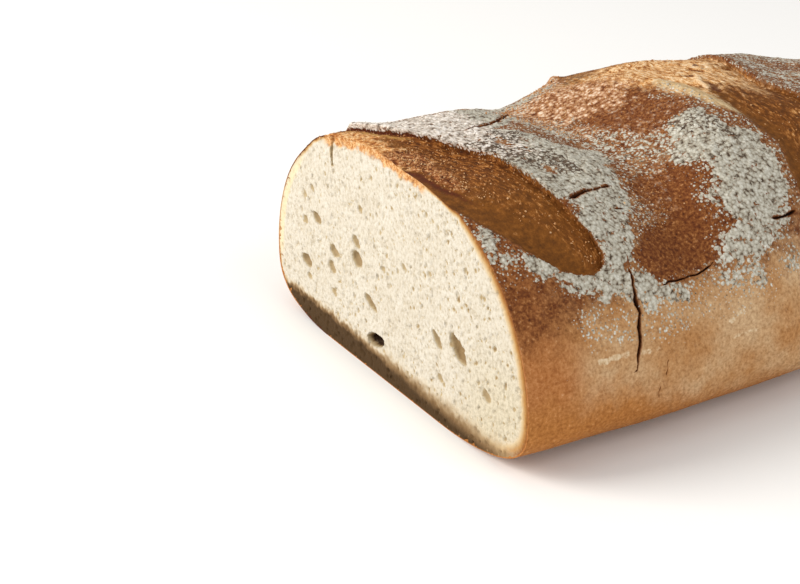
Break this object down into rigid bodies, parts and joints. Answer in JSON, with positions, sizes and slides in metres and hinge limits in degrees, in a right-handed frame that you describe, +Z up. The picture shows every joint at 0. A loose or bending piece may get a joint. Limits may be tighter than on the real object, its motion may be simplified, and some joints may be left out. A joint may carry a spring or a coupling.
{
  "type": "oval wheat bread loaf, cut across",
  "caption": "Oval slashed and floured wheat loaf with one end cut off flat to show the crumb, lying on its base.",
  "frame": {"origin": "middle of the loaf's bounding box, on the flat base it rests on", "axes": "+X along the loaf, from the flat cut face at -X to the rounded end; +Z up; the cut face's outward normal is -X"},
  "size_m": [0.2418, 0.1604, 0.0838],
  "materials": {
    "crust": "matte",
    "crumb": "matte"
  },
  "bodies": {
    "root": {"loaf": "crust"}
  },
  "joints": []
}
